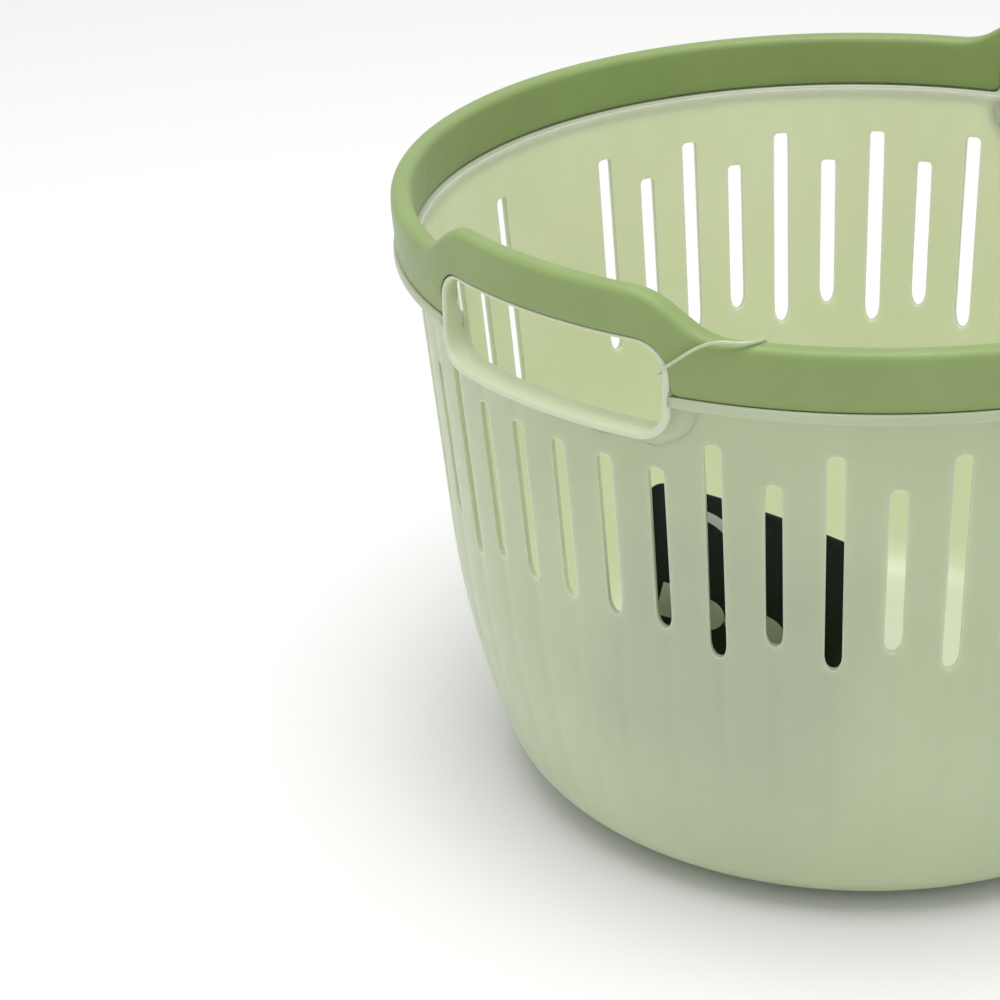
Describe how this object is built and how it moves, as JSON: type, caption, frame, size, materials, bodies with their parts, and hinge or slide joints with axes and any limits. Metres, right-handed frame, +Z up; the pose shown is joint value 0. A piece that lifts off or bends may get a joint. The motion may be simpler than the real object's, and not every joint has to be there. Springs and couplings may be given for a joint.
{
  "type": "slotted drain basket",
  "caption": "Round slotted plastic basket with a pressed-on rim ring, two hand openings under raised grips, and a card tag on a filament loop.",
  "frame": {"origin": "centre of the footprint, on the plane the foot ring stands on", "axes": "+Z up along the basket's axis; the two hand openings and grips lie on -X and +X"},
  "size_m": [0.3, 0.3, 0.2175],
  "materials": {
    "basket_plastic": "translucent satin",
    "rim_plastic": "fine matte",
    "tag_card": "printed, satin",
    "filament_plastic": "clear"
  },
  "bodies": {
    "basket": {"basket": "basket_plastic", "rim_ring": "rim_plastic", "tag_filament": "filament_plastic", "filament_clasp": "filament_plastic"},
    "tag": {"hang_tag": "tag_card"}
  },
  "joints": [
    {"name": "tag_swing", "type": "hinge", "parent": "basket", "child": "tag", "pos_m": [-0.11148, -0.05198, 0.1373], "axis": [-0.8939, -0.4168, -0.165], "range_deg": [-5, 30.5]}
  ]
}
